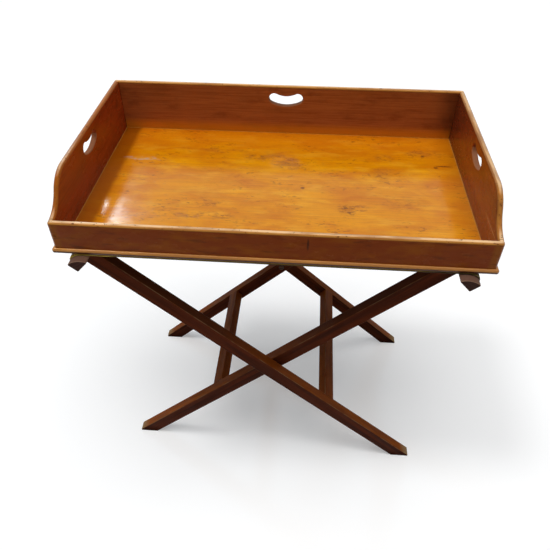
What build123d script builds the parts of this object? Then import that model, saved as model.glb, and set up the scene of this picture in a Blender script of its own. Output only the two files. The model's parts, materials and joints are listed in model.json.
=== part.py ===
"""Butler's tray on a folding stand: a dovetailed mahogany tray that lifts off two nested
leg frames, which turn on each other like scissors and are held apart by webbing straps.

Sizes are in millimetres and angles in degrees. X runs along the tray, Y runs from its low
front to its tall back, and Z is up. The origin is on the floor under the middle of the table.
"""
import os
from math import asin, atan, cos, degrees, sin, sqrt, tan

from build123d import *

# Tray: outer size over its sides, and the board that it is built on
tray_length = 760
tray_depth = 450
board_thickness = 11
back_height = 110
front_height = 54
base_thickness = 10
base_overhang = 4

# Stand: where the tray rests, where the frames turn, and the leg bars. The rail inset is how
# far from the tray's ends the legs' middle lines would meet the tops of the rails.
tray_underside = 625
pivot_height = 298
rail_inset = 36
leg_width = 31
leg_thickness = 22
frame_depth = 384
rail_overhang = 32
tray_set_back = 20

# Straps that stop the legs from spreading
strap_width = 50
strap_thickness = 2
strap_setback = 16

# Gaps that let pieces turn, seat or be screwed together
fixing_gap = 0.05
running_gap = 0.08
seat_gap = 0.3
overrun = 20
same_place = 0.05

# Places worked out from the sizes above
rail_length = frame_depth + 2 * rail_overhang
front_reach = rail_length / 2 + tray_set_back
back_reach = tray_depth / 2 + base_overhang
tray_y = (front_reach - back_reach) / 2
stand_y = tray_y - tray_set_back
rail_top = tray_underside - strap_thickness - 2 * seat_gap
slope = atan((rail_top - pivot_height) / (tray_length / 2 - rail_inset))
leg_slope = degrees(slope)


# Screws and tacks: turned solids that point along +Z, with their head's top at the origin

def countersunk_screw(head_radius, shank_radius, length, grow):
    """A countersunk screw, or the hole that it fits when it is grown by a clearance."""
    head_depth = head_radius - shank_radius
    tip_depth = 2 * shank_radius
    outline = Polyline(
        (0, 0),
        (head_radius + grow, 0),
        (shank_radius + grow, head_depth),
        (shank_radius + grow, length - tip_depth),
        (0, length + grow),
        close=True,
    )
    return revolve(make_face(Plane.XZ * outline), Axis.Z)


def domed_pin(head_radius, head_height, shank_radius, length):
    """A round-headed nail or screw: the dome stands above the origin, the shank goes down +Z."""
    dome = RadiusArc((head_radius, 0), (0, -head_height), dome_radius(head_radius, head_height))
    rest = Polyline(
        (0, -head_height),
        (0, length),
        (shank_radius, length - shank_radius),
        (shank_radius, 0),
        (head_radius, 0),
    )
    return revolve(make_face(Plane.XZ * Wire([dome, *rest.edges()])), Axis.Z)


def dome_radius(head_radius, head_height):
    return (head_radius**2 + head_height**2) / (2 * head_height)


# Tray: one ring of four sides, rounded as one, then parted at the dovetails

sweep_length = 105
rim_share = 0.45
corner_share = 0.55
rim_radius = board_thickness * rim_share
corner_radius = board_thickness * corner_share


def end_outline():
    """The side view of the tray's ends: low at the front, an S-shaped sweep, tall to the back."""
    front = -tray_depth / 2
    back = tray_depth / 2
    rise = back_height - front_height
    turn = 2 * atan(rise / sweep_length)
    sweep_radius = sweep_length / sin(turn) / 2
    low_end = (front, front_height)
    middle = (front + sweep_length / 2, front_height + rise / 2)
    high_end = (front + sweep_length, back_height)
    return make_face(Wire([
        *Polyline(high_end, (back, back_height), (back, 0), (front, 0), low_end).edges(),
        *RadiusArc(low_end, middle, -sweep_radius).edges(),
        *RadiusArc(middle, high_end, sweep_radius).edges(),
    ]))


def rim_edges(ring):
    """Every upper edge of the ring, without the short lines that cross an end board's top."""
    def across(edge):
        span = (edge @ 1) - (edge @ 0)
        return abs(span.X) < 2 * board_thickness and abs(span.Y) + abs(span.Z) < same_place

    level = ring.edges().filter_by(Axis.Z, reverse=True)
    return [edge for edge in level if edge.center().Z > same_place and not across(edge)]


def side_ring():
    """The four sides as one piece of wood, with rounded corners and a rounded rim."""
    inside = Box(tray_length - 2 * board_thickness, tray_depth - 2 * board_thickness,
                 2 * back_height + overrun)
    ring = extrude(Plane.YZ * end_outline(), tray_length / 2, both=True) - inside
    corners = ring.edges().filter_by(Axis.Z)
    corners = [edge for edge in corners if abs(edge.center().X) > tray_length / 2 - same_place]
    ring = fillet(corners, corner_radius)
    return fillet(rim_edges(ring), rim_radius)


pin_width = 4
pin_spacing = 27
dovetail_slope = 1 / 6


def pins(height, side, end):
    """The end board's pins at one corner: side is -1 left or 1 right, end -1 front or 1 back."""
    count = max(1, round(height / pin_spacing))
    outer = side * tray_length / 2
    inner = side * (tray_length / 2 - board_thickness)
    tip = pin_width / 2
    root = tip + board_thickness * dovetail_slope
    block_y = end * (tray_depth - board_thickness) / 2
    made = []
    for index in range(count):
        z = index * height / count
        outline = Polyline((outer, z - tip), (outer, z + tip), (inner, z + root),
                           (inner, z - root), close=True)
        face = make_face(Plane.XZ * outline)
        made.append(Pos(0, block_y, 0) * extrude(face, board_thickness / 2, both=True))
    return made


def board_space(length, depth, x, y):
    """An upright block of space, taller than the tray's sides."""
    space = Box(length, depth, back_height + overrun, align=(Align.CENTER, Align.CENTER, Align.MIN))
    return Pos(x, y, 0) * space


hole_length = 74
hole_height = 22
hole_bow = 6
hole_below_rim = 45
hole_edge_radius = 2


def hand_hole():
    """A kidney-shaped hole with raised ends, through a board that faces Y."""
    half_chord = (hole_length - hole_height) / 2
    bow_radius = (half_chord**2 + hole_bow**2) / (2 * hole_bow)
    half_turn = degrees(asin(half_chord / bow_radius))
    centre_line = CenterArc((0, bow_radius), bow_radius, 270 - half_turn, 2 * half_turn)
    slot = Plane.XZ * SlotArc(centre_line, hole_height)
    return extrude(slot, board_thickness, both=True)


def with_hand_hole(board, place):
    """Cut the hand-hole through a board and soften both of its edges."""
    cut = board - place * hand_hole()
    before = [edge.center() for edge in board.edges()]

    def is_new(edge):
        return all((edge.center() - old).length > same_place for old in before)

    def on_a_face(edge):
        size = edge.bounding_box().size
        return min(size.X, size.Y) < same_place < size.Z

    return fillet([edge for edge in cut.edges() if is_new(edge) and on_a_face(edge)],
                  hole_edge_radius)


base_edge_share = 0.4
base_edge_radius = base_thickness * base_edge_share
screws_per_long_side = 5
screws_per_end = 3
base_screw_head = 4
base_screw_shank = 2
base_screw_length = 32
base_screw_margin = 45
base_screw_slot = 0.9


def spread(count, half_reach):
    """Evenly spaced places from -half_reach to half_reach."""
    return [half_reach * (2 * index / (count - 1) - 1) for index in range(count)]


def base_screw_places():
    along = spread(screws_per_long_side, tray_length / 2 - base_screw_margin)
    deep = spread(screws_per_end, tray_depth / 2 - 2 * base_screw_margin)
    side_y = (tray_depth - board_thickness) / 2
    end_x = (tray_length - board_thickness) / 2
    places = [(x, y) for y in (-side_y, side_y) for x in along]
    return places + [(x, y) for x in (-end_x, end_x) for y in deep]


def at_base_screws(shape):
    return [Pos(x, y, 0) * shape for x, y in base_screw_places()]


def base_screw(grow):
    return countersunk_screw(base_screw_head, base_screw_shank, base_screw_length, grow)


def base_screws():
    """Slotted screws that hold the sides down onto the base, from below."""
    slot = Box(4 * base_screw_head, base_screw_slot, 2 * base_screw_slot)
    return Compound(at_base_screws(base_screw(0) - slot))


def tray_base():
    """The tray's floor: a board that runs out past the sides, with a rounded edge."""
    base = Box(tray_length + 2 * base_overhang, tray_depth + 2 * base_overhang, base_thickness,
               align=(Align.CENTER, Align.CENTER, Align.MIN))
    base = fillet(base.edges().filter_by(Axis.Z), base_edge_radius)
    faces = base.faces().sort_by(Axis.Z)
    return fillet(faces[0].edges() + faces[-1].edges(), base_edge_radius)


def tray_sides():
    """The ring of sides, parted into four boards at the dovetails, with their hand-holes."""
    ring = side_ring()
    side_y = (tray_depth - board_thickness) / 2
    end_x = (tray_length - board_thickness) / 2
    hole_z = back_height - hole_below_rim + hole_height / 2
    heights = {-1: front_height, 1: back_height}
    boards = {}
    for name, end in (("tray_front", -1), ("tray_back", 1)):
        space = board_space(tray_length + overrun, board_thickness, 0, end * side_y)
        for side in (-1, 1):
            space -= pins(heights[end], side, end)
        boards[name] = ring & space
    for name, side in (("tray_left_end", -1), ("tray_right_end", 1)):
        space = board_space(board_thickness, tray_depth - 2 * board_thickness, side * end_x, 0)
        for end in (-1, 1):
            space += pins(heights[end], side, end)
        hole_place = Pos(side * end_x, 0, hole_z) * Rot(0, 0, 90)
        boards[name] = with_hand_hole(ring & space, hole_place)
    boards["tray_back"] = with_hand_hole(boards["tray_back"], Pos(0, side_y, hole_z))
    return {name: Pos(0, 0, base_thickness) * board for name, board in boards.items()}


def tray_parts():
    """The whole tray, set down on the stand."""
    parts = {**tray_sides(), "tray_base": tray_base()}
    holes = at_base_screws(base_screw(fixing_gap))
    parts = {name: board - holes for name, board in parts.items()}
    parts["base_screws"] = base_screws()
    return {name: Pos(0, tray_y, tray_underside) * shape for name, shape in parts.items()}


# Stand: each frame is drawn with its pivot at the origin and its legs running down to the
# right. The outer frame stays so, and the inner frame is mirrored to run down to the left.

edge_radius = 1.5
toe_height = 3
toe_radius = 2
tenon_length = 9
tenon_width = 15
tenon_thickness = 9
tenon_shoulder = 4
rail_thickness = 22
rail_crown_radius = 34
rail_edge_radius = 2
leg_gap = 1.2

outer_leg_y = (frame_depth - leg_thickness) / 2
inner_leg_y = outer_leg_y - leg_thickness - leg_gap


def on_leg(along, across):
    """A point beside the pivot: along the leg towards its foot, and across it, upper face +."""
    return (along * cos(slope) + across * sin(slope), across * cos(slope) - along * sin(slope))


def leg_block(along, across, y, length, width, thickness):
    """A bar that lies with the leg; along and across are the places of its middle."""
    x, z = on_leg(along, across)
    return Pos(x, y, z) * Rot(0, leg_slope, 0) * Box(length, thickness, width)


def rail_section(shoulder, grow=0):
    """The rail's end: two flats square to each other, set with the leg, and a round crown."""
    half = leg_width / 2
    tip = on_leg(-shoulder, -half)
    low_corner = on_leg(-shoulder - rail_thickness, -half)
    high_corner = on_leg(-shoulder, half)
    outline = Wire([
        *Polyline(high_corner, tip, low_corner).edges(),
        *RadiusArc(low_corner, high_corner, rail_crown_radius).edges(),
    ])
    section = make_face(outline)
    section = fillet(section.vertices(), rail_edge_radius)
    if grow:
        section = offset(section, grow, kind=Kind.ARC)
    return section


crown_above_pivot = rail_section(0).bounding_box().max.Y
rail_shoulder = (rail_top - pivot_height - crown_above_pivot) / sin(slope)


def along_y(section, length, y=0):
    """Draw a section along Y, centred on y."""
    return Pos(0, y, 0) * extrude(Plane.XZ * section, length / 2, both=True)


def leg(y):
    """One leg bar with a foot cut level with the floor and a tenon for the rail."""
    half = leg_width / 2
    rise = half / cos(slope)
    heel = (pivot_height - rise) / tan(slope)
    toe = (pivot_height - toe_height + rise) / tan(slope)
    outline = Polyline((heel, -pivot_height), (toe, -pivot_height),
                       (toe, toe_height - pivot_height),
                       on_leg(-rail_shoulder, half), on_leg(-rail_shoulder, -half), close=True)
    face = make_face(outline)
    face = fillet(face.vertices().sort_by(Axis.X)[-2:].sort_by(Axis.Y)[-1], toe_radius)
    bar = along_y(face, leg_thickness, y)
    grain = Axis((0, 0, 0), (cos(slope), 0, -sin(slope)))
    bar = fillet(bar.edges().filter_by(grain), edge_radius)
    return bar + leg_tenon(y, tenon_length, 0)


def leg_tenon(y, length, grow):
    """The stub on the leg's upper end, kept low where the rail is thick; or its mortise."""
    across = (tenon_width - leg_width) / 2 + tenon_shoulder
    return leg_block(-rail_shoulder - length / 2, across, y, length,
                     tenon_width + 2 * grow, tenon_thickness + 2 * grow)


stretcher_near = 150
stretcher_width = 28
stretcher_depth = 21
stretcher_tenon_length = 14
stretcher_tenon_width = 20
stretcher_tenon_depth = 10


def stretcher(leg_y):
    """The bar that ties a frame's two legs, let in flush with their upper faces."""
    along = stretcher_near + stretcher_width / 2
    across = (leg_width - stretcher_depth) / 2
    shoulder_to_shoulder = 2 * leg_y - leg_thickness
    bar = leg_block(along, across, 0, stretcher_width, stretcher_depth, shoulder_to_shoulder)
    bar = fillet(bar.edges().filter_by(Axis.Y), edge_radius)
    return bar + stretcher_tenons(leg_y, 0)


def stretcher_tenons(leg_y, grow):
    along = stretcher_near + stretcher_width / 2
    across = (leg_width - stretcher_depth) / 2
    length = 2 * leg_y - leg_thickness + 2 * (stretcher_tenon_length + grow)
    return leg_block(along, across, 0, stretcher_tenon_width + 2 * grow,
                     stretcher_tenon_depth + 2 * grow, length)


def rail(leg_y):
    """The round-topped rail that the tray and straps lie on, mortised for the two legs."""
    bar = along_y(rail_section(rail_shoulder), rail_length)
    ends = bar.faces().filter_by(Axis.Y).edges()
    bar = fillet(ends, edge_radius)
    for y in (-leg_y, leg_y):
        bar -= leg_tenon(y, tenon_length + seat_gap, fixing_gap)
    return bar


pivot_shank = 3.5
pivot_head = 7
pivot_head_height = 4
pivot_blind = 4
pivot_slot_width = 1.6
pivot_slot_depth = 2
washer_radius = 10
washer_thickness = 1


def pivot_bore(side, reach, grow):
    """A hole for the pivot screw, from the inside of the stand to the given reach along Y."""
    shank = Cylinder(pivot_shank + grow, reach, align=(Align.CENTER, Align.CENTER, Align.MIN))
    return Rot(side * -90, 0, 0) * shank


def pivot_screw(side):
    """A round-headed screw from inside, through the inner leg and into the outer one."""
    inner_face = inner_leg_y - leg_thickness / 2 - seat_gap
    length = frame_depth / 2 - pivot_blind - inner_face
    screw = domed_pin(pivot_head, pivot_head_height, pivot_shank, length)
    slot = Box(2 * pivot_head, pivot_slot_width, 2 * pivot_slot_depth)
    screw -= Pos(0, 0, -pivot_head_height) * slot
    return Rot(side * -90, 0, 0) * Pos(0, 0, inner_face) * screw


def pivot_washer(side):
    ring = Cylinder(washer_radius, washer_thickness) - Cylinder(pivot_shank + running_gap, overrun)
    return Pos(0, side * (outer_leg_y - (leg_thickness + leg_gap) / 2), 0) * Rot(90, 0, 0) * ring


tack_head = 4
tack_head_height = 1.6
tack_shank = 0.9
tack_length = 12
tacks_per_end = 3
tack_margin = 9
strap_end_gap = 3


def strap_y(side):
    return side * (rail_length / 2 - strap_setback - strap_width / 2)


def tack_places():
    """The tacks' places along Y, on both straps."""
    reach = strap_width / 2 - tack_margin
    return [strap_y(side) + y for side in (-1, 1) for y in spread(tacks_per_end, reach)]


def on_strap_end(shape, y):
    """Put something that points along +Z onto the rail's lower flat, over the strap's end."""
    out = leg_width / 2 + strap_thickness + 2 * seat_gap
    x, z = on_leg(-rail_shoulder - rail_thickness / 2, -out)
    return Pos(x, y, z) * Rot(0, leg_slope, 0) * shape


def tacks():
    tack = domed_pin(tack_head, tack_head_height, tack_shank, tack_length)
    return Compound([on_strap_end(tack, y) for y in tack_places()])


def tack_holes(grow):
    hole = Cylinder(tack_shank + grow, 2 * tack_length + 2 * seat_gap)
    return [on_strap_end(hole, y) for y in tack_places()]


def strap_end(y):
    """The strap's wrap: from the rail's lower flat, round its outside and up to its crown."""
    reach = 2 * rail_crown_radius
    wrap = rail_section(rail_shoulder, seat_gap + strap_thickness)
    wrap -= rail_section(rail_shoulder, seat_gap)
    wrap -= Pos(crown_place(), rail_top - pivot_height) * Rectangle(
        reach, 2 * reach, align=(Align.MIN, Align.CENTER))
    wrap -= Pos(*on_leg(-rail_shoulder - strap_end_gap, 0)) * Rot(0, 0, -leg_slope) * Rectangle(
        reach, 2 * reach, align=(Align.MIN, Align.CENTER))
    return along_y(wrap, strap_width, y)


def crown_place():
    """Where along X the rail's crown is highest."""
    low = on_leg(-rail_shoulder - rail_thickness, -leg_width / 2)
    high = on_leg(-rail_shoulder, leg_width / 2)
    chord = Vector(high[0] - low[0], high[1] - low[1])
    drop = sqrt(rail_crown_radius**2 - (chord.length / 2) ** 2)
    normal = Vector(chord.Y, -chord.X).normalized()
    return (low[0] + high[0]) / 2 + normal.X * drop


def strap(side):
    """One whole strap: two wrapped ends and the stretch that spans between the rails."""
    y = strap_y(side)
    end = strap_end(y)
    span = Box(-2 * crown_place(), strap_width, strap_thickness,
               align=(Align.CENTER, Align.CENTER, Align.MIN))
    span = Pos(0, y, rail_top + seat_gap - pivot_height) * span
    holes = tack_holes(seat_gap)
    mirrored_holes = [mirror(hole, Plane.YZ) for hole in holes]
    return end + mirror(end, Plane.YZ) + span - holes - mirrored_holes


def frame_parts(leg_y, bore_reach, bore_gap):
    """One frame's wooden bars, with its legs run down to the right."""
    mortises = stretcher_tenons(leg_y, fixing_gap)
    bars = {"rail": rail(leg_y)}
    for name, side in (("front_leg", -1), ("rear_leg", 1)):
        bars[name] = leg(side * leg_y) - mortises - pivot_bore(side, bore_reach, bore_gap)
    bars = {name: bar - tack_holes(fixing_gap) for name, bar in bars.items()}
    return {**bars, "stretcher": stretcher(leg_y)}


def stand_parts():
    """Both frames, their pivots and the straps."""
    outer = frame_parts(outer_leg_y, frame_depth / 2 - pivot_blind + seat_gap, fixing_gap)
    inner = frame_parts(inner_leg_y, frame_depth / 2, running_gap)
    inner = {name: mirror(bar, Plane.YZ) for name, bar in inner.items()}
    parts = {"left_rail": outer.pop("rail"), "right_rail": inner.pop("rail")}
    parts.update({"outer_" + name: bar for name, bar in outer.items()})
    parts.update({"inner_" + name: bar for name, bar in inner.items()})
    for name, side in (("front", -1), ("rear", 1)):
        parts[name + "_pivot_screw"] = pivot_screw(side)
        parts[name + "_pivot_washer"] = pivot_washer(side)
        parts[name + "_strap"] = strap(side)
    parts["left_tacks"] = tacks()
    parts["right_tacks"] = mirror(tacks(), Plane.YZ)
    return {name: Pos(0, stand_y, pivot_height) * shape for name, shape in parts.items()}


os.makedirs("parts", exist_ok=True)
for name, shape in {**tray_parts(), **stand_parts()}.items():
    shape.label = name
    export_step(shape, f"parts/{name}.step")
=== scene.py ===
"""Looks of a butler's tray on its folding stand: worn French-polished mahogany boards, waxed
bars, aged iron and woven webbing, set on a pale floor in soft studio light.

Lengths are in metres unless a name ends in mm. X runs along the tray, Y from its low front to
its tall back, and Z is up.
"""
import json
from math import atan, cos, pi, radians, sin, sqrt

import bmesh
import bpy
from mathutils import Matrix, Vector


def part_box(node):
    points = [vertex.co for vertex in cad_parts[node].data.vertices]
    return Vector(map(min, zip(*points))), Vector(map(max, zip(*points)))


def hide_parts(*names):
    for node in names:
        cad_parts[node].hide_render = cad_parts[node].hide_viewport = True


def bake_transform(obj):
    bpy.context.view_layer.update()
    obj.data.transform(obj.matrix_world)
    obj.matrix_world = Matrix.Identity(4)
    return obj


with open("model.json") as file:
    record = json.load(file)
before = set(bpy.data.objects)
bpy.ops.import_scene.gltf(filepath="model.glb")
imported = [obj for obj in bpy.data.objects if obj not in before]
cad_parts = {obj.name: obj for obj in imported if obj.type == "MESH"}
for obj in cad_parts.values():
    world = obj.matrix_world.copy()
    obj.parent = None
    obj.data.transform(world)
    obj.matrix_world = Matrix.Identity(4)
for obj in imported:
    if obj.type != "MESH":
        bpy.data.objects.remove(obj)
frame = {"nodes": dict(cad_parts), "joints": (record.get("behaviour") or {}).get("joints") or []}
nodes = frame["nodes"]

bl_info = {
    "name": "Butler's tray table",
    "version": (1, 0, 0),
    "blender": (4, 5, 0),
    "location": "View3D > Sidebar > Tray table",
    "description": "Finishes a folding butler's tray table and sets it on a pale floor",
    "category": "Object",
}

mm = 0.001


def linear(hex_colour):
    """An sRGB colour such as A24E21 as linear red, green and blue."""
    parts = [int(hex_colour[i:i + 2], 16) / 255 for i in (0, 2, 4)]
    return [p / 12.92 if p <= 0.04045 else ((p + 0.055) / 1.055) ** 2.4 for p in parts]


# What the frame says about the table

floor_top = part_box("tray_base")[1].z
front_low, front_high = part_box("tray_front")
back_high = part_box("tray_back")[1]
rail_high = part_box("left_rail")[1]
strap_low, strap_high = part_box("front_strap")
pivot = Vector(next(j for j in frame["joints"] if j["name"] == "fold")["pos_m"])

board = front_high.y - front_low.y
half_length = -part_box("tray_left_end")[0].x
half_depth = (back_high.y - front_low.y) / 2
inner_length = half_length - board
inner_depth = half_depth - board
tray_middle_y = (back_high.y + front_low.y) / 2
back_face = back_high.y - board


# Colours and sizes that a user would change

class TrayFinish(bpy.types.PropertyGroup):
    honey: bpy.props.FloatVectorProperty(
        name="Floor, honey", description="Lightest polish of the tray's floor board",
        subtype="COLOR", min=0, max=1, default=linear("E09200"))
    amber: bpy.props.FloatVectorProperty(
        name="Floor, amber", description="Darker figure of the tray's floor board",
        subtype="COLOR", min=0, max=1, default=linear("C87204"))
    side: bpy.props.FloatVectorProperty(
        name="Sides, red-brown", description="Polished wood of the tray's four sides",
        subtype="COLOR", min=0, max=1, default=linear("B56B36"))
    side_dark: bpy.props.FloatVectorProperty(
        name="Sides, dark figure", description="Dark figure in the tray's sides",
        subtype="COLOR", min=0, max=1, default=linear("8E4C28"))
    rim: bpy.props.FloatVectorProperty(
        name="Worn rim", description="Bare wood where hands have rubbed the polish away",
        subtype="COLOR", min=0, max=1, default=linear("C6883F"))
    wear: bpy.props.FloatProperty(
        name="Wear", description="How far the polish is rubbed off the rims and edges",
        subtype="FACTOR", min=0, max=1, default=0.9)


class StandFinish(bpy.types.PropertyGroup):
    wood: bpy.props.FloatVectorProperty(
        name="Bars, mahogany", description="Waxed wood of the legs and stretchers",
        subtype="COLOR", min=0, max=1, default=linear("5A2610"))
    dark: bpy.props.FloatVectorProperty(
        name="Bars, dark figure", description="Dark figure and old wax on the bars",
        subtype="COLOR", min=0, max=1, default=linear("35170D"))
    rubbed: bpy.props.FloatVectorProperty(
        name="Bars, rubbed", description="Upper faces low on the legs, where feet rub them",
        subtype="COLOR", min=0, max=1, default=linear("864410"))
    worn: bpy.props.FloatVectorProperty(
        name="Toes and chips", description="Bare dusty wood at the toes and chipped edges",
        subtype="COLOR", min=0, max=1, default=linear("94815E"))
    rail: bpy.props.FloatVectorProperty(
        name="Rails", description="Dull greyish-brown wood of the rails",
        subtype="COLOR", min=0, max=1, default=linear("6C5042"))


class StrapFinish(bpy.types.PropertyGroup):
    width: bpy.props.FloatProperty(
        name="Width", description="Width of the webbing",
        unit="LENGTH", min=0.02, max=0.08, default=strap_high.y - strap_low.y)
    thickness: bpy.props.FloatProperty(
        name="Thickness", description="Thickness of the webbing",
        unit="LENGTH", min=0.0005, max=0.003, default=1.8 * mm)
    stripe: bpy.props.FloatProperty(
        name="Stripe", description="Width of the yellow stripe along each edge",
        unit="LENGTH", min=0, max=0.02, default=5 * mm)
    ground: bpy.props.FloatVectorProperty(
        name="Ground", description="Olive-brown yarn in the middle of the webbing",
        subtype="COLOR", min=0, max=1, default=linear("6E5430"))
    yellow: bpy.props.FloatVectorProperty(
        name="Stripe colour", description="Yellow yarn of the edge stripes",
        subtype="COLOR", min=0, max=1, default=linear("F8D45C"))


class StageSettings(bpy.types.PropertyGroup):
    camera_place: bpy.props.FloatVectorProperty(
        name="Camera", description="Where the camera stands",
        subtype="XYZ", unit="LENGTH", default=(0.0555, -0.9322, 1.2593))
    camera_tilt: bpy.props.FloatProperty(
        name="Tilt", description="How far the camera looks up from straight down",
        subtype="ANGLE", default=0.8288)
    camera_turn: bpy.props.FloatProperty(
        name="Turn", description="How far the camera is turned to the left",
        subtype="ANGLE", default=0.074)
    lens: bpy.props.FloatProperty(
        name="Lens", description="Focal length in millimetres", min=10, max=200, default=36.38)
    key: bpy.props.FloatProperty(
        name="Key light", description="Share of light from high on the left, which draws shadows",
        min=0, max=2, default=0.3)
    overhead: bpy.props.FloatProperty(
        name="Overhead light", description="Share of light from a broad panel overhead",
        min=0, max=2, default=0.57)
    room: bpy.props.FloatProperty(
        name="Room light", description="Strength of the even light from all round",
        min=0, max=2, default=0.12)


# Nodes and patterns

def add(tree, kind, inputs, output=0, **settings):
    """Add a node, set it, give each input a value or a link, and hand back one output."""
    node = tree.nodes.new("ShaderNode" + kind)
    for name, value in settings.items():
        setattr(node, name, value)
    for key, value in inputs.items():
        if isinstance(value, bpy.types.NodeSocket):
            tree.links.new(value, node.inputs[key])
        else:
            node.inputs[key].default_value = value
    return node.outputs[output] if len(node.outputs) else node


def paint(colour):
    """A colour for a socket, from an sRGB hex value or from a colour property."""
    return (*(linear(colour) if isinstance(colour, str) else colour), 1)


def coat(tree, under, colour, share, *masks):
    """Lay a colour over what is there, as strongly as its share where every mask is 1."""
    strength = share
    for mask in masks:
        strength = add(tree, "Math", {0: mask, 1: strength}, operation="MULTIPLY")
    return add(tree, "Mix", {0: strength, 6: under, 7: paint(colour)}, 2, data_type="RGBA")


def grain(tree, space, long_mm, wide_mm, low, high, seed, detail=2.0, twist=0.0):
    """Streaks so long along the grain and so wide across it, from 0 to 1; the noise between low
    and high makes the change from one to the other."""
    sizes = (long_mm * mm, wide_mm * mm, wide_mm * mm)
    place = add(tree, "Mapping", {"Vector": space, "Scale": [1 / size for size in sizes],
                                  "Location": (seed, 2 * seed, 5 * seed)})
    height = add(tree, "TexNoise", {"Vector": place, "Scale": 1.0, "Detail": detail,
                                    "Roughness": 0.55, "Distortion": twist})
    return add(tree, "MapRange", {"Value": height, "From Min": low, "From Max": high},
               interpolation_type="SMOOTHSTEP")


def facing(tree, direction, low, high):
    """1 where the surface looks in a direction, and 0 where it looks aside, by the cosine of the
    angle between them; swapped limits turn the two round."""
    normal = add(tree, "TexCoord", {}, "Normal")
    amount = add(tree, "VectorMath", {0: normal, 1: direction}, "Value",
                 operation="DOT_PRODUCT")
    return add(tree, "MapRange", {"Value": amount, "From Min": low, "From Max": high},
               interpolation_type="SMOOTHSTEP")


def rising(tree, axis, low, high, middle=None):
    """From 0 at the first place on an axis to 1 at the second, or both ways from a middle."""
    place = add(tree, "SeparateXYZ", {"Vector": add(tree, "TexCoord", {}, "Object")}, axis)
    if middle is not None:
        place = add(tree, "Math", {0: place, 1: middle}, operation="SUBTRACT")
        place = add(tree, "Math", {0: place}, operation="ABSOLUTE")
    return add(tree, "MapRange", {"Value": place, "From Min": low, "From Max": high},
               interpolation_type="SMOOTHSTEP")


def beyond(tree, length, depth, fade):
    """From 0 inside a rectangle round the tray's middle to 1 past it; the rectangle is given as
    half its length and half its depth."""
    return add(tree, "Math", {0: rising(tree, "X", length - fade, length, 0),
                              1: rising(tree, "Y", depth - fade, depth, tray_middle_y)},
               operation="MAXIMUM")


def arris(tree, turn, low, high):
    """1 on edges rounded along the grain, and 0 on a bar's flats."""
    normal = add(tree, "Mapping", {"Vector": add(tree, "TexCoord", {}, "Normal"),
                                   "Rotation": turn})
    across = add(tree, "SeparateXYZ", {"Vector": normal}, "Y")
    up = add(tree, "SeparateXYZ", {"Vector": normal}, "Z")
    both = add(tree, "Math", {0: across, 1: up}, operation="MULTIPLY")
    both = add(tree, "Math", {0: both}, operation="ABSOLUTE")
    return add(tree, "MapRange", {"Value": both, "From Min": low, "From Max": high},
               interpolation_type="SMOOTHSTEP")


def on_floor(*marks):
    """Marks on the tray's floor, each from a place in X and Y, a reach each way and a strength."""
    thick = 9
    return [((x, y, floor_top / mm), (along, across, thick), strength)
            for x, y, along, across, strength in marks]


def spots(tree, marks_mm, ragged_mm):
    """Soft marks with ragged outlines: each is a place, three radii and how strong it is."""
    space = add(tree, "TexCoord", {}, "Object")
    ragged = add(tree, "TexNoise", {"Vector": space, "Scale": 1 / (ragged_mm * mm),
                                    "Detail": 3.0}, 1)
    drift = add(tree, "VectorMath", {0: ragged, 1: (0.5, 0.5, 0.5)}, operation="SUBTRACT")
    drift = add(tree, "VectorMath", {0: drift, "Scale": 1.6 * ragged_mm * mm},
                operation="SCALE")
    ground = add(tree, "VectorMath", {0: space, 1: drift}, operation="ADD")
    total = 0.0
    for place, radii, strength in marks_mm:
        inside = add(tree, "Mapping", {"Vector": ground, "Location": [p * mm for p in place],
                                       "Scale": [r * mm for r in radii]},
                     vector_type="TEXTURE")
        ball = add(tree, "TexGradient", {"Vector": inside}, 1, gradient_type="SPHERICAL")
        mark = add(tree, "MapRange", {"Value": ball, "From Max": 0.6, "To Max": strength},
                   interpolation_type="SMOOTHSTEP")
        total = add(tree, "Math", {0: mark, 1: total}, operation="MAXIMUM")
    return total


def wave_scale(gap):
    """The scale that lays a wave texture's waves so far apart: it has 20 of them in 2 pi units."""
    return 2 * pi / (20 * gap)


def start_material(name):
    material = bpy.data.materials.new(name)
    material.use_nodes = True
    material.node_tree.nodes.clear()
    return material, material.node_tree


def finish_material(tree, colour, roughness, bumps, **fixed):
    """The surface itself: bumps are pairs of a height and its depth in mm, one on another."""
    surface = {"Base Color": colour, "Roughness": roughness}
    for height, depth_mm in bumps:
        raised = {"Height": height, "Distance": depth_mm * mm}
        if "Normal" in surface:
            raised["Normal"] = surface["Normal"]
        surface["Normal"] = add(tree, "Bump", raised)
    surface.update({name.replace("_", " "): value for name, value in fixed.items()})
    shader = add(tree, "BsdfPrincipled", surface)
    add(tree, "OutputMaterial", {"Surface": shader})


# Woods

# Fresh shellac has an IOR of about 1.5, and wax of 1.44. Old coats mirror less, so theirs are
# matched lower. Their tint is amber, because what dark old polish mirrors comes back warm.
shellac_ior = 1.4
dull_shellac_ior = 1.2
dull_wax_ior = 1.1

along_x = (0, 0, 0)
along_y = (0, 0, -pi / 2)
up = (0, 0, 1)
down = (0, 0, -1)
to_front = (0, -1, 0)
to_back = (0, 1, 0)

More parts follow.
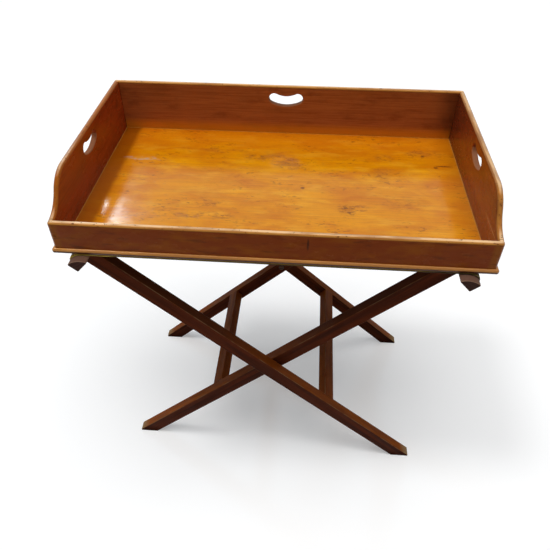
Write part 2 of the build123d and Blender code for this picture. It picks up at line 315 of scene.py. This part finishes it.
# Old spills, pits and a pale streak on the tray's floor, in mm: place, reach each way and strength
spills = on_floor(
    (14, 88, 46, 34, 1.0),
    (-40, 112, 70, 24, 0.8),
    (-131, 132, 80, 16, 0.5),
    (-132, -64, 40, 22, 0.6),
    (-167, -105, 50, 12, 0.9),
    (-106, -104, 40, 12, 0.8),
    (131, -71, 26, 24, 0.8),
    (206, 60, 30, 34, 0.5),
    (214, 129, 26, 18, 0.5),
    (300, 150, 50, 24, 0.7),
    (240, -40, 60, 30, 0.4),
    (-246, -110, 50, 14, 0.6),
)
pits = on_floor(
    (47, 0, 6, 5, 0.9),
    (322, 95, 6, 5, 0.8),
    (300, 139, 5, 5, 0.8),
    (131, -62, 6, 4, 0.8),
    (137, -76, 5, 4, 0.8),
    (340, 101, 24, 2.5, 1.0),
)
pale_streak = on_floor((-302, 89, 46, 9, 1.0))

# Marks elsewhere, in mm: place, radii and strength
front_crack = (((62, -217, 669), (2.8, 6, 17), 1.0),)
end_scratch = (((369, -157, 680.6), (3, 46, 1.3), 1.0),)
leg_chip = (((16, -182, 296.5), (3, 4, 2.5), 1.0),)


def polished_floor(finish):
    """French-polished mahogany board: shellac rubbed over close grain gives a deep honey gloss,
    which old spills and scratches break."""
    material, tree = start_material("french_polished_mahogany_board")
    space = add(tree, "TexCoord", {}, "Object")
    figure = grain(tree, space, 95, 40, 0.3, 0.75, 1.7, detail=5, twist=0.8)
    streaks = grain(tree, space, 130, 4.5, 0.35, 0.72, 8.2)
    # Real pores are about 0.3 mm wide, too fine to show, so they are drawn three times wider.
    pores = grain(tree, space, 14, 0.9, 0.62, 0.74, 3.1, detail=1)
    colour = add(tree, "Mix", {0: figure, 6: paint(finish.honey), 7: paint(finish.amber)}, 2,
                 data_type="RGBA")
    redder = grain(tree, space, 90, 45, 0.45, 0.7, 14.3, detail=4)
    lighter = grain(tree, space, 70, 26, 0.48, 0.7, 21.7, detail=4)
    colour = coat(tree, colour, "C66C08", 0.4, redder)
    colour = coat(tree, colour, "F0B028", 0.4, lighter)
    colour = coat(tree, colour, "A45E10", 0.25, streaks)
    near_back = rising(tree, "Y", 60 * mm, back_face)
    colour = coat(tree, colour, "C9680C", 0.55, near_back)
    near_ends = rising(tree, "X", half_length - 90 * mm, inner_length, 0)
    colour = coat(tree, colour, "C9700F", 0.45, near_ends)
    # A darker band along the left end is a painted shadow of that end on the floor.
    painted_left_end_shadow = rising(tree, "X", 42 * mm - inner_length, 28 * mm - inner_length)
    colour = coat(tree, colour, "8E4204", 0.72, painted_left_end_shadow)
    # Spills left a brown haze full of short dark flecks that lie along the grain.
    spilt = spots(tree, spills, 22)
    haze = grain(tree, space, 30, 14, 0.38, 0.6, 12.4, detail=4, twist=0.4)
    flecks = grain(tree, space, 11, 4, 0.52, 0.64, 5.5, detail=4, twist=0.8)
    colour = coat(tree, colour, "9A5420", 0.6, spilt, haze)
    colour = coat(tree, colour, "6E3410", 0.85, spilt, flecks)
    strewn = grain(tree, space, 80, 45, 0.45, 0.62, 31.0, detail=3)
    loose_flecks = grain(tree, space, 12, 5, 0.56, 0.66, 17.1, detail=4)
    colour = coat(tree, colour, "86480F", 0.6, strewn, loose_flecks)
    colour = coat(tree, colour, "5A2A10", 0.85, spots(tree, pits, 3))
    colour = coat(tree, colour, "B3A394", 0.8, spots(tree, pale_streak, 12), haze)
    colour = coat(tree, colour, "6E360F", 0.35, pores)
    # A pale line where the board meets the sides is a painted highlight.
    seam = 1.2 * mm
    line = beyond(tree, inner_length - seam, inner_depth - seam, seam)
    colour = coat(tree, colour, "BE8C48", 0.5, line)
    # The edge that stands past the sides is stained like them, and pale along its top, partly
    # rubbed and partly a painted highlight.
    outside = beyond(tree, half_length, half_depth, 1 * mm)
    colour = coat(tree, colour, "46200E", 1.0, outside)
    upper = rising(tree, "Z", floor_top - 5.5 * mm, floor_top - 2.5 * mm)
    rubbed = grain(tree, space, 60, 9, 0.2, 0.5, 2.2, detail=3)
    colour = coat(tree, colour, "E09A48", 0.85, outside, upper)
    colour = coat(tree, colour, "8C4E1E", 0.5, outside, upper, rubbed)
    # The underside was never polished.
    under = facing(tree, down, 0.6, 0.9)
    colour = coat(tree, colour, "7A4A2A", 1.0, under)
    colour = coat(tree, colour, "5A331C", 0.6, under, streaks)
    shine = grain(tree, space, 60, 30, 0.3, 0.7, 9.1, detail=4)
    roughness = add(tree, "MapRange", {"Value": shine, "To Min": 0.12, "To Max": 0.2})
    roughness = add(tree, "Mix", {0: spilt, 2: roughness, 3: 0.3})
    roughness = add(tree, "Mix", {0: under, 2: roughness, 3: 0.75})
    hollows = grain(tree, space, 110, 45, 0.3, 0.7, 4.4, detail=1)
    finish_material(tree, colour, roughness, [(hollows, 0.15), (streaks, 0.02), (pores, -0.04)],
                    IOR=shellac_ior, Specular_Tint=paint("FFE0C0"))
    return material


def polished_side(finish, name, turn, old_polish, rubbed, ior=shellac_ior):
    """French-polished mahogany side: dark red-brown shellac, which hands have rubbed to bare tan
    wood along the rim and waxed to a shine."""
    material, tree = start_material("french_polished_mahogany_" + name)
    plain = add(tree, "TexCoord", {}, "Object")
    space = add(tree, "Mapping", {"Vector": plain, "Rotation": turn})
    figure = grain(tree, space, 380, 26, 0.32, 0.7, 6.2, detail=3, twist=0.5)
    streaks = grain(tree, space, 120, 3.2, 0.4, 0.72, 4.9)
    pores = grain(tree, space, 12, 0.9, 0.62, 0.74, 7.7, detail=1)
    share = add(tree, "Math", {0: figure, 1: 0.6}, operation="MULTIPLY")
    colour = add(tree, "Mix", {0: share, 6: paint(finish.side), 7: paint(finish.side_dark)}, 2,
                 data_type="RGBA")
    colour = coat(tree, colour, old_polish, 0.65)
    colour = coat(tree, colour, "6A2E12", 0.35, streaks)
    yellower = grain(tree, space, 130, 40, 0.5, 0.75, 12.6, detail=4)
    colour = coat(tree, colour, "8A5520", 0.35, yellower)
    grime = grain(tree, space, 70, 26, 0.5, 0.78, 2.9, detail=4)
    colour = coat(tree, colour, "55240F", 0.45, grime)
    colour = coat(tree, colour, "3A160A", 0.15, pores)
    # Painted shade darkens the far right corner to a greyish brown.
    to_corner = rising(tree, "X", inner_length - 50 * mm, inner_length)
    colour = coat(tree, colour, "40201A", 0.55, rising(tree, "Y", 20 * mm, back_face), to_corner)
    # The outer faces have been handled and waxed darker than the inside.
    outer = beyond(tree, half_length - 1 * mm, half_depth - 1 * mm, 1 * mm)
    colour = coat(tree, colour, "762C00", 0.95, outer)
    blotches = grain(tree, space, 60, 22, 0.42, 0.7, 19.4, detail=4)
    colour = coat(tree, colour, "8C4A04", 0.6, outer, blotches)
    at_corner = rising(tree, "X", half_length - 20 * mm, half_length - 11 * mm, 0)
    colour = coat(tree, colour, "8E540C", 0.5, outer, at_corner)
    smudges = grain(tree, space, 45, 9, 0.55, 0.7, 25.1, detail=4)
    colour = coat(tree, colour, "37180A", 0.5, outer, smudges)
    # Painted light: the honey floor's reflection and bounced light lie low inside the back board.
    painted_floor_reflection = rising(tree, "Z", floor_top + 30 * mm, floor_top + 4 * mm)
    inside_back = rising(tree, "Y", 0, back_face - 1 * mm)
    colour = coat(tree, colour, "E8981C", 0.75, painted_floor_reflection, inside_back,
                  facing(tree, to_front, 0.5, 0.9))
    # Behind the sweep and below the rim, what looks up is the lower lip of a hand-hole. The back
    # board's hole, in the middle, is darkened by painted shade on its softened edge.
    below_rim = rising(tree, "Z", back_high.z - 12 * mm, back_high.z - 16 * mm)
    behind_sweep = rising(tree, "Y", -50 * mm, -40 * mm)
    in_hole = add(tree, "Math", {0: below_rim, 1: behind_sweep}, operation="MULTIPLY")
    border = facing(tree, up, 0.0, 0.25)
    near_middle = rising(tree, "X", 60 * mm, 40 * mm, 0)
    colour = coat(tree, colour, "2A1008", 0.8, in_hole, near_middle,
                  facing(tree, to_front, 0.97, 0.75), facing(tree, to_back, 0.97, 0.75))
    colour = coat(tree, colour, "A67050", 0.9, in_hole, border)
    # The rim: bare tan wood, darker along its borders, and palest along its crest, most of all
    # towards the front, where the paleness is partly wear and partly a painted highlight. It has
    # hand dirt and nicks.
    past_holes = add(tree, "MapRange", {"Value": in_hole, "To Min": 1.0, "To Max": 0.0})
    rim = facing(tree, up, 0.15, 0.65)
    crest = facing(tree, up, 0.82, 0.98)
    dirt = grain(tree, space, 55, 8, 0.42, 0.66, 3.3, detail=4)
    nicks = grain(tree, space, 7, 4, 0.64, 0.7, 11.3)
    worn = rubbed * finish.wear
    colour = coat(tree, colour, "A85E10", 0.6, past_holes, rim)
    colour = coat(tree, colour, "683618", worn, past_holes, border)
    colour = coat(tree, colour, finish.rim, worn, past_holes, rim)
    colour = coat(tree, colour, "FFD8A0", 0.6 * worn, past_holes, crest)
    colour = coat(tree, colour, "FFDCB0", 0.5 * finish.wear, past_holes, crest,
                  rising(tree, "Y", 0, -120 * mm))
    colour = coat(tree, colour, "8E562B", 0.6, past_holes, rim, dirt)
    colour = coat(tree, colour, "5E3018", 0.8, past_holes, rim, nicks)
    # Dirt lies in the joint lines where the ends meet the long sides.
    joint = 0.9 * mm
    joint_line = add(tree, "Math", {
        0: rising(tree, "Y", inner_depth - joint, inner_depth, tray_middle_y),
        1: rising(tree, "Y", inner_depth + joint, inner_depth, tray_middle_y),
    }, operation="MULTIPLY")
    at_ends = rising(tree, "X", inner_length - 1 * mm, inner_length, 0)
    colour = coat(tree, colour, "2C130A", 0.85, joint_line, at_ends)
    colour = coat(tree, colour, "24100A", 0.8, spots(tree, front_crack, 2))
    colour = coat(tree, colour, "D9AE80", 0.8, spots(tree, end_scratch, 1))
    shine = grain(tree, space, 60, 30, 0.35, 0.7, 9.1, detail=4)
    roughness = add(tree, "MapRange", {"Value": shine, "To Min": 0.18, "To Max": 0.32})
    handled = add(tree, "Math", {0: past_holes, 1: border}, operation="MULTIPLY")
    roughness = add(tree, "Mix", {0: handled, 2: roughness, 3: 0.17})
    bare = add(tree, "Math", {0: in_hole, 1: border}, operation="MULTIPLY")
    roughness = add(tree, "Mix", {0: bare, 2: roughness, 3: 0.8})
    hollows = grain(tree, space, 90, 40, 0.3, 0.7, 4.4, detail=1)
    finish_material(tree, colour, roughness,
                    [(hollows, 0.12), (streaks, 0.02), (pores, -0.04), (nicks, -0.2)],
                    IOR=ior, Specular_Tint=paint("C8702C"))
    return material


def waxed_bar(finish, name, turn, rub, rail=False):
    """Waxed mahogany bar: dull dark red-brown under old wax, with painted shade high up, paler low
    down and on its edges, partly rubbed and partly painted light, and bare at the toes, with a
    painted contact shadow in front. A rail is a dull greyish brown, with dark end grain."""
    material, tree = start_material("waxed_mahogany_" + name)
    plain = add(tree, "TexCoord", {}, "Object")
    space = add(tree, "Mapping", {"Vector": plain, "Rotation": turn})
    rubbed_colour = finish.rail if rail else finish.rubbed
    edge_colour = "B08F78" if rail else "7A4526"
    figure = grain(tree, space, 260, 12, 0.32, 0.7, 3.6, detail=3, twist=0.5)
    streaks = grain(tree, space, 90, 2.6, 0.4, 0.72, 9.4)
    pores = grain(tree, space, 10, 0.9, 0.6, 0.74, 1.9, detail=1)
    colour = add(tree, "Mix", {0: figure, 6: paint(finish.wood), 7: paint(finish.dark)}, 2,
                 data_type="RGBA")
    colour = coat(tree, colour, "4A2414", 0.4, streaks)
    if rail:
        colour = coat(tree, colour, finish.rail, 0.85, facing(tree, down, 0.6, -0.2))
    # Upper faces are paler low down: partly rubbed, partly painted light out of the tray's shade.
    rubbed_and_lit_low_down = rising(tree, "Z", 420 * mm, 200 * mm)
    worn_patches = grain(tree, space, 90, 12, 0.3, 0.65, 2.1, detail=4)
    top_face = facing(tree, up, 0.3, 0.75)
    colour = coat(tree, colour, rubbed_colour, rub, top_face, worn_patches, rubbed_and_lit_low_down)
    colour = coat(tree, colour, rubbed_colour, 0.5 * rub, top_face)
    if not rail:
        # Painted shade darkens the upper faces high under the tray, where its shadow falls.
        painted_tray_shade = rising(tree, "Z", 320 * mm, 460 * mm)
        colour = coat(tree, colour, "24100A", 0.6, top_face, painted_tray_shade)
    colour = coat(tree, colour, "24100A", 0.35, pores)
    # A rail is pale round its front end, and the other bars along their edges, partly rubbed and
    # partly a painted highlight.
    if rail:
        edge = add(tree, "Math", {0: facing(tree, to_front, 0.2, 0.5),
                                  1: facing(tree, to_front, 0.95, 0.8)}, operation="MULTIPLY")
    else:
        edge = arris(tree, turn, 0.12, 0.42)
    broken = grain(tree, space, 30, 6, 0.4, 0.62, 6.7, detail=4)
    colour = coat(tree, colour, edge_colour, 0.5, edge)
    colour = coat(tree, colour, finish.worn, 0.35, edge, broken)
    # The toes are bare and dusty, except in front, where a painted contact shadow darkens them.
    toe = rising(tree, "Z", 26 * mm, 3 * mm)
    scuffs = grain(tree, space, 14, 9, 0.3, 0.6, 1.3, detail=4)
    colour = coat(tree, colour, finish.worn, 0.55, toe, top_face)
    colour = coat(tree, colour, finish.worn, 0.5, toe, scuffs, facing(tree, to_front, 0.8, 0.4))
    colour = coat(tree, colour, "1E0F08", 0.6, toe, facing(tree, to_front, 0.4, 0.8))
    colour = coat(tree, colour, "C9BFAE", 0.9, spots(tree, leg_chip, 1.5))
    if rail:
        # The rail's end grain shows its growth rings.
        ring_gap = 5.655 * mm
        ends = add(tree, "Math", {0: facing(tree, to_front, 0.6, 0.9),
                                  1: facing(tree, to_back, 0.6, 0.9)}, operation="MAXIMUM")
        rings = add(tree, "TexWave", {"Vector": plain, "Scale": wave_scale(ring_gap),
                                      "Distortion": 3.0, "Detail": 3.0}, 1,
                    wave_type="RINGS", rings_direction="Y")
        colour = coat(tree, colour, "47302A", 1.0, ends)
        colour = coat(tree, colour, "2E1F1B", 0.4, ends, rings)
    shine = grain(tree, space, 50, 20, 0.35, 0.7, 9.1, detail=4)
    roughness = add(tree, "MapRange", {"Value": shine, "To Min": 0.36, "To Max": 0.55})
    roughness = add(tree, "Mix", {0: toe, 2: roughness, 3: 0.75})
    dents = grain(tree, space, 16, 9, 0.64, 0.74, 5.9)
    finish_material(tree, colour, roughness, [(streaks, 0.04), (pores, -0.05), (dents, -0.2)],
                    IOR=dull_wax_ior, Specular_Tint=paint("C07040"))
    return material


def aged_iron(name, colour, rusted):
    """Turned iron that has aged: dark brown-grey metal, duller and browner where it has rusted."""
    material, tree = start_material(name)
    space = add(tree, "TexCoord", {}, "Object")
    rust = grain(tree, space, 3, 3, 0.42, 0.62, 4.1, detail=5)
    shade = coat(tree, paint(colour), "5B3A28", rusted, rust)
    roughness = add(tree, "MapRange", {"Value": rust, "To Min": 0.38, "To Max": 0.72})
    finish_material(tree, shade, roughness, [(rust, 0.05)], Metallic=0.85)
    return material


def woven_webbing(finish, middle_y):
    """Woven jute webbing: dull twill yarns, olive-brown with a yellow stripe along each edge."""
    material, tree = start_material("woven_jute_webbing")
    space = add(tree, "TexCoord", {}, "Object")
    # The outermost yarns keep the ground's colour, except at the left rail, where the stripe runs
    # to its edge.
    selvedge = finish.width / 2 - 0.6 * mm
    at_left_rail = rising(tree, "X", -270 * mm, -290 * mm)
    stripe_to_edge = add(tree, "Math", {
        0: rising(tree, "Y", selvedge + 0.2 * mm, selvedge - 0.2 * mm, middle_y),
        1: at_left_rail,
    }, operation="MAXIMUM")
    start = selvedge - finish.stripe
    stripe = add(tree, "Math", {
        0: rising(tree, "Y", start - 0.4 * mm, start + 0.4 * mm, middle_y),
        1: stripe_to_edge,
    }, operation="MULTIPLY")
    # Yarns are about 1 mm apart, drawn 1.6 mm apart so that they show. The twill's slanting ribs
    # are twice as far apart.
    yarn_gap = 1.6 * mm
    weave = [add(tree, "TexWave", {"Vector": space, "Scale": wave_scale(yarn_gap),
                                   "Distortion": 0.6}, 1, bands_direction=way)
             for way in ("Y", "DIAGONAL")]
    weave = add(tree, "Math", {0: weave[0], 1: weave[1]}, operation="MULTIPLY")
    fuzz = grain(tree, space, 3, 1, 0.45, 0.75, 5.2, detail=3)
    soil = grain(tree, space, 60, 30, 0.5, 0.75, 8.8, detail=4)
    # Painted shade darkens the hollows between the yarns.
    hollow = add(tree, "MapRange", {"Value": weave, "To Min": 1.0, "To Max": 0.0})
    colour = coat(tree, paint(finish.ground), "3A2C18", 0.5, hollow)
    colour = coat(tree, colour, finish.yellow, 0.95, stripe)
    colour = coat(tree, colour, "8C7A50", 0.4, fuzz)
    colour = coat(tree, colour, "4A3A22", 0.45, soil)
    # The webbing is darker at the right rail.
    at_right_rail = rising(tree, "X", 260 * mm, 290 * mm)
    colour = coat(tree, colour, "2E2416", 0.7, at_right_rail)
    # Loose yarns mirror less than the solid fibre would.
    yarn_ior = 1.25
    finish_material(tree, colour, 0.9, [(weave, 0.4), (fuzz, 0.15)], IOR=yarn_ior,
                    Sheen_Weight=0.1, Sheen_Roughness=0.6)
    return material


def dress(names, material):
    """Give CAD nodes a material in every slot."""
    for name in names:
        slots = nodes[name].data.materials
        if not slots:
            slots.append(material)
        for place in range(len(slots)):
            slots[place] = material


# The straps, and the rails that they wrap

rail_inset = 36 * mm
rail_thickness = 22 * mm
rail_width = 31 * mm
crown_radius = 34 * mm
rail_edge_radius = 2 * mm
strap_gap = 0.3 * mm
strap_end_gap = 3 * mm
leg_slope = atan((rail_high.z - pivot.z) / (half_length - rail_inset))


def on_leg(along, across):
    """A point in X and Z beside the pivot: along the leg to its foot, and across it, upwards +."""
    return Vector((pivot.x + along * cos(leg_slope) + across * sin(leg_slope),
                   pivot.z + across * cos(leg_slope) - along * sin(leg_slope)))


def arc(centre, radius, start, end, steps):
    """Points on an arc from one direction to another, each with its way out."""
    turn = start.angle_signed(end)
    found = []
    for step in range(steps + 1):
        angle = turn * step / steps
        way = Vector((start.x * cos(angle) + start.y * sin(angle),
                      start.y * cos(angle) - start.x * sin(angle)))
        found.append((centre + way * radius, way))
    return found


def strap_path(thickness):
    """Points of the webbing's middle line in X and Z with the way out, from under the left rail
    over its crown and across to the right rail."""
    lift = strap_gap + thickness / 2
    half = rail_width / 2
    high, low = on_leg(0, half), on_leg(-rail_thickness, -half)
    chord = high - low
    sideways = Vector((-chord.y, chord.x)).normalized()
    centre = (high + low) / 2 - sideways * sqrt(crown_radius**2 - (chord.length / 2) ** 2)
    shoulder = (rail_high.z - (centre.y + crown_radius)) / sin(leg_slope)
    centre += on_leg(-shoulder, 0) - on_leg(0, 0)
    tip = on_leg(-shoulder, -half)
    out = Vector((-sin(leg_slope), -cos(leg_slope)))
    along = Vector((cos(leg_slope), -sin(leg_slope)))
    # The low corner is rounded where the flat runs into the crown's arc.
    below = (tip - centre).dot(out) - rail_edge_radius
    reach = sqrt((crown_radius - rail_edge_radius) ** 2 - below**2)
    corner = centre + out * below - along * reach
    first = tip - along * strap_end_gap + out * lift
    last = corner + out * (rail_edge_radius + lift)
    flat_steps, corner_steps, crown_steps, span_steps = 5, 8, 16, 64
    wrap = [(first.lerp(last, step / flat_steps), out) for step in range(flat_steps + 1)]
    to_corner = (corner - centre).normalized()
    wrap += arc(corner, rail_edge_radius + lift, out, to_corner, corner_steps)[1:]
    wrap += arc(centre, crown_radius + lift, to_corner, Vector((0, 1)), crown_steps)[1:]
    crown = wrap[-1][0]
    span = [(Vector((crown.x * (1 - 2 * step / span_steps), crown.y)), Vector((0, 1)))
            for step in range(1, span_steps)]
    mirrored = [(Vector((-point.x, point.y)), Vector((-way.x, way.y)))
                for point, way in reversed(wrap)]
    return wrap + span + mirrored


def strap(name, node, finish):
    """One webbing strap with rounded woven edges, tacked under both rails."""
    low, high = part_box(node)
    y = (low.y + high.y) / 2
    path = strap_path(finish.thickness)
    half, thick = finish.width / 2, finish.thickness / 2
    columns, edge_thinning = 12, 0.75
    section = []
    for side in (1, -1):
        for step in range(columns + 1):
            across = side * (half - 2 * half * step / columns)
            edge = max(0.0, (abs(across) - half + thick) / thick)
            section.append((across, side * thick * sqrt(1 - edge_thinning * edge**2)))
    mesh = bmesh.new()
    rings = [[mesh.verts.new((point.x + way.x * rise, y + across, point.y + way.y * rise))
              for across, rise in section] for point, way in path]
    count = len(section)
    for first, second in zip(rings, rings[1:]):
        for i in range(count):
            mesh.faces.new((first[i], second[i], second[(i + 1) % count], first[(i + 1) % count]))
    for ring, turn in ((rings[0], 1), (rings[-1], -1)):
        for i in range(columns):
            end = (ring[i], ring[i + 1], ring[count - 2 - i], ring[count - 1 - i])
            mesh.faces.new(end[::turn])
    bmesh.ops.recalc_face_normals(mesh, faces=mesh.faces)
    data = bpy.data.meshes.new(name)
    mesh.to_mesh(data)
    mesh.free()
    for face in data.polygons:
        face.use_smooth = True
    piece = bpy.data.objects.new(name, data)
    bpy.context.scene.collection.objects.link(piece)
    data.materials.append(woven_webbing(finish, y))
    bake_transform(piece)
    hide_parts(node)


# One operator for each group of pieces, and one for the stage

class MakeTray(bpy.types.Operator):
    """Polish the tray's floor board and its four sides"""
    bl_idname = "tray_table.make_tray"
    bl_label = "Tray boards"

    def execute(self, context):
        finish = context.scene.tray_finish
        dress(["tray_base"], polished_floor(finish))
        dress(["tray_front", "tray_back"],
              polished_side(finish, "long_side", along_x, old_polish="B67442", rubbed=1.0))
        dress(["tray_left_end"], polished_side(finish, "left_end", along_y, old_polish="A03806",
                                               rubbed=0.12, ior=dull_shellac_ior))
        dress(["tray_right_end"],
              polished_side(finish, "right_end", along_y, old_polish="7C2A0A", rubbed=0.7))
        return {"FINISHED"}


class MakeStand(bpy.types.Operator):
    """Wax the stand's legs, stretchers and rails"""
    bl_idname = "tray_table.make_stand"
    bl_label = "Stand bars"

    def execute(self, context):
        finish = context.scene.stand_finish
        down_right, down_left = (0, -leg_slope, 0), (0, leg_slope, 0)
        across_right, across_left = (0, -leg_slope, -pi / 2), (0, leg_slope, -pi / 2)
        for names, name, turn, rub in (
                (["outer_front_leg", "outer_rear_leg"], "legs_down_right", down_right, 0.9),
                (["inner_front_leg", "inner_rear_leg"], "legs_down_left", down_left, 0.9),
                (["outer_stretcher"], "outer_stretcher", across_right, 0.7),
                (["inner_stretcher"], "inner_stretcher", across_left, 0.7)):
            dress(names, waxed_bar(finish, name, turn, rub))
        dress(["left_rail", "right_rail"], waxed_bar(finish, "rails", along_y, 0.6, rail=True))
        return {"FINISHED"}


class MakeStraps(bpy.types.Operator):
    """Tack the two webbing straps over the rails"""
    bl_idname = "tray_table.make_straps"
    bl_label = "Straps"

    def execute(self, context):
        finish = context.scene.strap_finish
        strap("front_webbing", "front_strap", finish)
        strap("rear_webbing", "rear_strap", finish)
        return {"FINISHED"}


class MakeMetalwork(bpy.types.Operator):
    """Age the screws, washers and tacks"""
    bl_idname = "tray_table.make_metalwork"
    bl_label = "Metalwork"

    def execute(self, context):
        dress(["base_screws", "front_pivot_screw", "rear_pivot_screw", "front_pivot_washer",
               "rear_pivot_washer"], aged_iron("turned_iron_screws", "2A211B", 0.8))
        dress(["left_tacks", "right_tacks"], aged_iron("blued_iron_tacks", "4E4A4C", 0.4))
        return {"FINISHED"}


# The stage's floor and lamps: which way a lamp lies, and how wide it is in degrees

floor_colour = "DDDDDD"
floor_glow = 0.32
floor_reach = 9.0
floor_drop = 0.3 * mm
lamp_distance = 3.0
key_way, key_width = (-0.39, -0.02, 1), 12
overhead_way, overhead_width = (0.06, -0.04, 1), 45
pane_place, pane_target = (-1.25, 1.78, 2.12), (-0.315, -0.12, floor_top)
pane_size, pane_power, pane_colour = 0.28, 8.0, "C4E7FF"
camera_shift = (0.0049, -0.0045)


class MakeStage(bpy.types.Operator):
    """Set the pale floor, the lamps, the room light and the camera"""
    bl_idname = "tray_table.make_stage"
    bl_label = "Stage"

    def execute(self, context):
        settings = context.scene.stage_settings
        pale_floor()
        distant_light("key_light", key_way, settings.key, key_width)
        distant_light("overhead_light", overhead_way, settings.overhead, overhead_width)
        bright_pane()
        room_light(settings.room)
        camera(settings)
        context.scene.view_settings.view_transform = "Standard"
        return {"FINISHED"}


def seen_directly(tree):
    """1 for what the camera sees itself, or through a gloss or glass, and 0 for stray light."""
    seen = add(tree, "LightPath", {}, "Is Camera Ray")
    for way in ("Is Glossy Ray", "Is Transmission Ray"):
        ray = add(tree, "LightPath", {}, way)
        seen = add(tree, "Math", {0: seen, 1: ray}, operation="MAXIMUM")
    return seen


def pale_floor():
    """A plain pale floor that is white in full light and keeps the table's shadow."""
    data = bpy.data.meshes.new("pale_floor")
    corners = [(x * floor_reach, y * floor_reach, -floor_drop)
               for x, y in ((-1, -1), (1, -1), (1, 1), (-1, 1))]
    data.from_pydata(corners, [], [(0, 1, 2, 3)])
    floor = bpy.data.objects.new("pale_floor", data)
    bpy.context.scene.collection.objects.link(floor)
    material, tree = start_material("matt_pale_floor")
    lit = add(tree, "BsdfDiffuse", {"Color": paint(floor_colour)})
    level = add(tree, "Math", {0: seen_directly(tree), 1: floor_glow}, operation="MULTIPLY")
    glow = add(tree, "Emission", {"Color": paint("FFFFFF"), "Strength": level})
    both = add(tree, "AddShader", {0: lit, 1: glow})
    add(tree, "OutputMaterial", {"Surface": both})
    data.materials.append(material)


def distant_light(name, way, share, width):
    """A lamp that lights the whole floor evenly; a share of 1 shows white as white."""
    data = bpy.data.lights.new(name, "SUN")
    data.energy = share * pi
    data.angle = radians(width)
    place_light(name, data, Vector(way).normalized() * lamp_distance, (0, 0, 0))


def bright_pane():
    """A small bright pane behind the table, which the polish mirrors at the tray's front left."""
    data = bpy.data.lights.new("window", "AREA")
    data.size = pane_size
    data.energy = pane_power
    data.color = linear(pane_colour)
    place_light("window", data, Vector(pane_place), pane_target)


def place_light(name, data, place, target):
    item = bpy.data.objects.new(name, data)
    bpy.context.scene.collection.objects.link(item)
    item.location = place
    item.rotation_euler = (Vector(target) - place).to_track_quat("-Z", "Y").to_euler()
    item.visible_camera = False


def room_light(strength):
    """Even light from all round, which shows as white behind the table."""
    world = bpy.data.worlds.new("room_light")
    bpy.context.scene.world = world
    world.use_nodes = True
    tree = world.node_tree
    tree.nodes.clear()
    level = add(tree, "MapRange", {"Value": seen_directly(tree), "To Min": strength})
    light = add(tree, "Background", {"Color": paint("FFFFFF"), "Strength": level})
    add(tree, "OutputWorld", {"Surface": light})


def camera(settings):
    data = bpy.data.cameras.new("camera")
    data.lens = settings.lens
    data.shift_x, data.shift_y = camera_shift
    item = bpy.data.objects.new("camera", data)
    bpy.context.scene.collection.objects.link(item)
    item.location = settings.camera_place
    item.rotation_euler = (settings.camera_tilt, 0, settings.camera_turn)
    bpy.context.scene.camera = item


steps = [MakeTray, MakeStand, MakeStraps, MakeMetalwork, MakeStage]
groups = {"tray_finish": TrayFinish, "stand_finish": StandFinish,
          "strap_finish": StrapFinish, "stage_settings": StageSettings}


class TrayTablePanel(bpy.types.Panel):
    """Colours, sizes and steps of the tray table"""
    bl_idname = "VIEW3D_PT_tray_table"
    bl_label = "Tray table"
    bl_space_type = "VIEW_3D"
    bl_region_type = "UI"
    bl_category = "Tray table"

    def draw(self, context):
        for name, group in groups.items():
            box = self.layout.box()
            box.label(text=name.replace("_", " ").capitalize())
            for setting in group.__annotations__:
                box.prop(getattr(context.scene, name), setting)
        for step in steps:
            self.layout.operator(step.bl_idname)


def register():
    for group in [*groups.values(), *steps, TrayTablePanel]:
        bpy.utils.register_class(group)
    for name, group in groups.items():
        setattr(bpy.types.Scene, name, bpy.props.PointerProperty(type=group))


def unregister():
    for name in groups:
        delattr(bpy.types.Scene, name)
    for group in reversed([*groups.values(), *steps, TrayTablePanel]):
        bpy.utils.unregister_class(group)


def main():
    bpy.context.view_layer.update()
    register()
    bpy.ops.tray_table.make_tray()
    bpy.ops.tray_table.make_stand()
    bpy.ops.tray_table.make_straps()
    bpy.ops.tray_table.make_metalwork()
    bpy.ops.tray_table.make_stage()


if __name__ == "__main__":
    main()
